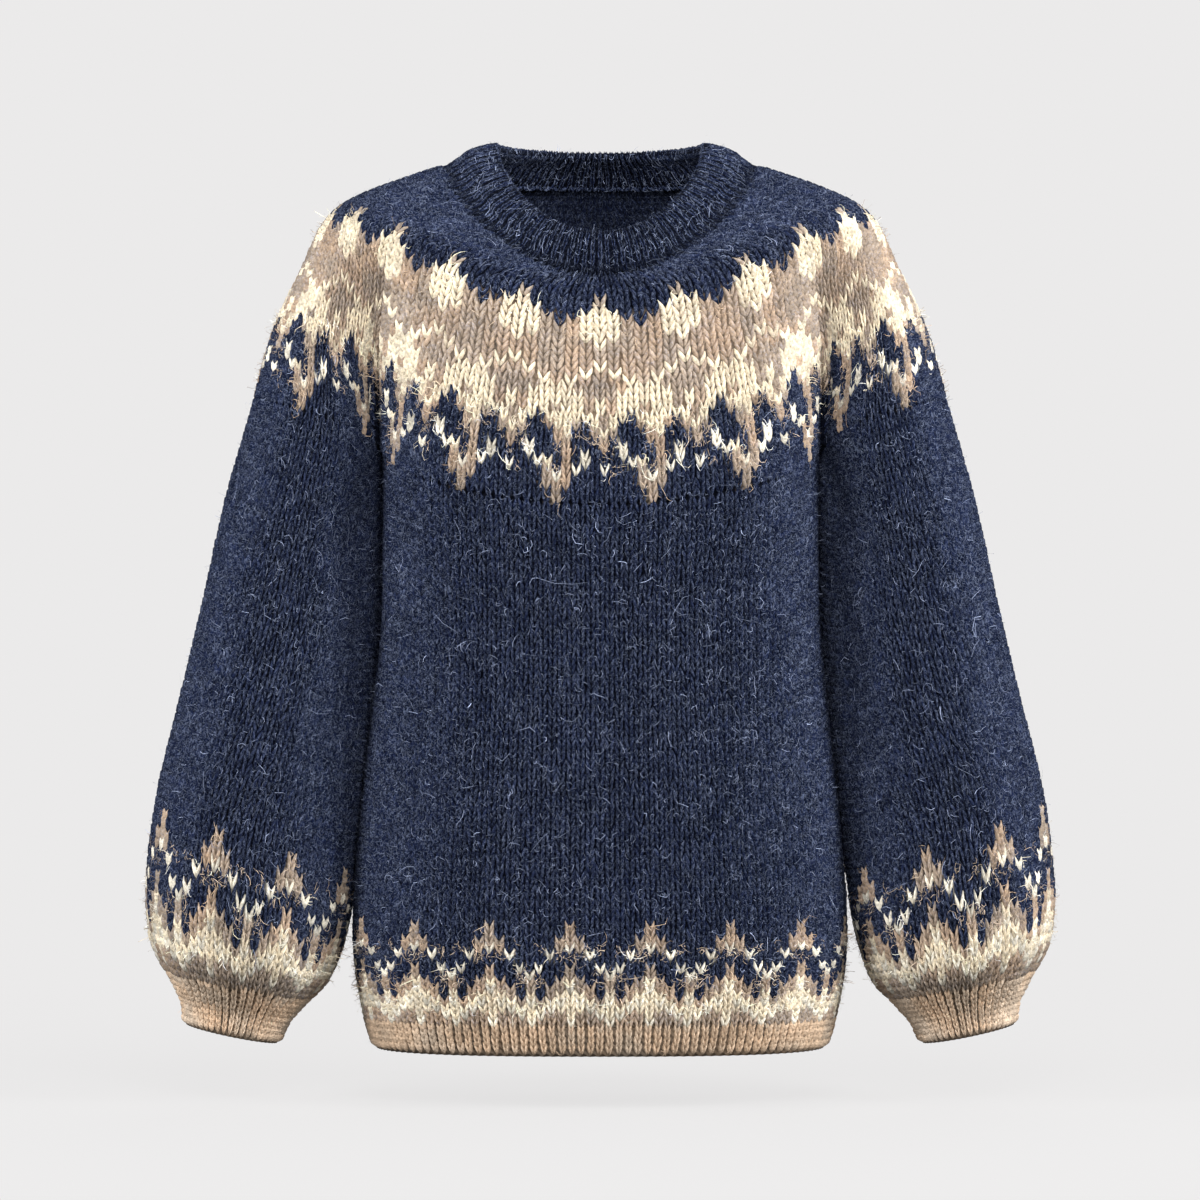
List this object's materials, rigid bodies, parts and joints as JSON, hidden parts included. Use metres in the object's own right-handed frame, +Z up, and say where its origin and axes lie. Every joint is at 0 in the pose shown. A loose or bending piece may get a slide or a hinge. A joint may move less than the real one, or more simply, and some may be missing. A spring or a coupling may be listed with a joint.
{
  "type": "round yoke sweater",
  "caption": "Bulky wool pullover with a round patterned yoke, folded crew neckband, full bishop sleeves gathered into ribbed cuffs, and a patterned hem over a narrow rib",
  "frame": {"origin": "the mount worn_on_shoulders: between the shoulders at the height of the back neck, where the yoke rests on the wearer", "axes": "+X the wearer's left, -Y the front, +Y the back, +Z up"},
  "size_m": [0.6682, 0.241, 0.669],
  "materials": {
    "neckband": "matte wool knit",
    "yoke": "matte wool knit",
    "body_front": "matte wool knit",
    "body_back": "matte wool knit",
    "hem_band": "matte wool knit",
    "sleeve_left": "matte wool knit",
    "sleeve_right": "matte wool knit",
    "cuff_left": "matte wool knit",
    "cuff_right": "matte wool knit"
  },
  "bodies": {
    "root": {"neckband": "neckband", "yoke": "yoke", "body_front": "body_front", "body_back": "body_back", "hem_band": "hem_band", "sleeve_left": "sleeve_left", "sleeve_right": "sleeve_right", "cuff_left": "cuff_left", "cuff_right": "cuff_right"}
  },
  "joints": []
}
